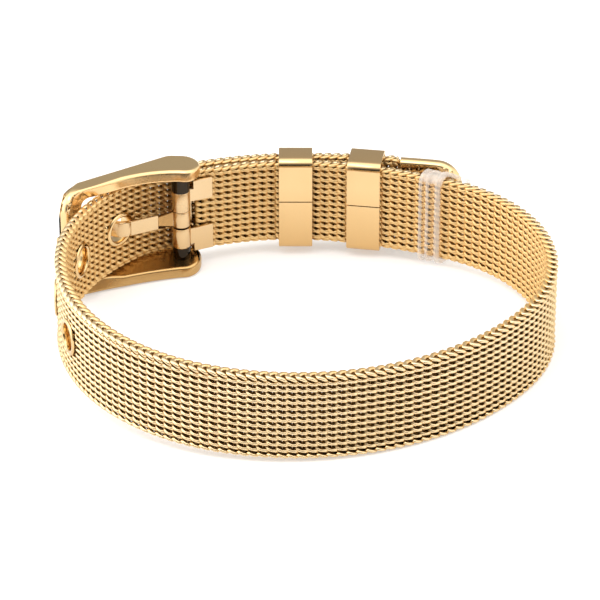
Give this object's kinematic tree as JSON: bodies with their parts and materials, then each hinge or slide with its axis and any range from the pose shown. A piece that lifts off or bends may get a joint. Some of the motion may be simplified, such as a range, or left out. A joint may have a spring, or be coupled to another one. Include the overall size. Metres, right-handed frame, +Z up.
{
  "type": "stainless steel mesh bracelet",
  "caption": "Woven wire mesh bracelet closed by a tongue buckle, with ring eyelets, folded metal keepers and a capped strap end, lying on its side.",
  "frame": {"origin": "centre of the bounding box at the resting surface", "axes": "+X along the longer side of the loop, +Y from the plain front of the strap to the keepers at the back, +Z up; the strap stands on its lower edge"},
  "size_m": [0.0546, 0.0478, 0.0138],
  "materials": {
    "woven_wire": "gold-plated stainless steel wire, woven, bright with dark gaps",
    "polished_metal": "gold-plated stainless steel, polished",
    "satin_metal": "gold-plated stainless steel sheet, fine satin",
    "clear_plastic": "clear soft plastic"
  },
  "bodies": {
    "root": {"mesh_band": "woven_wire", "end_fitting": "polished_metal", "pivot_bar": "polished_metal", "buckle_frame": "polished_metal", "tongue": "polished_metal", "eyelet_1": "polished_metal", "eyelet_2": "polished_metal", "eyelet_3": "polished_metal", "eyelet_4": "polished_metal", "keeper_1": "satin_metal", "keeper_2": "satin_metal", "strap_tip": "polished_metal", "clear_keeper": "clear_plastic"}
  },
  "joints": []
}
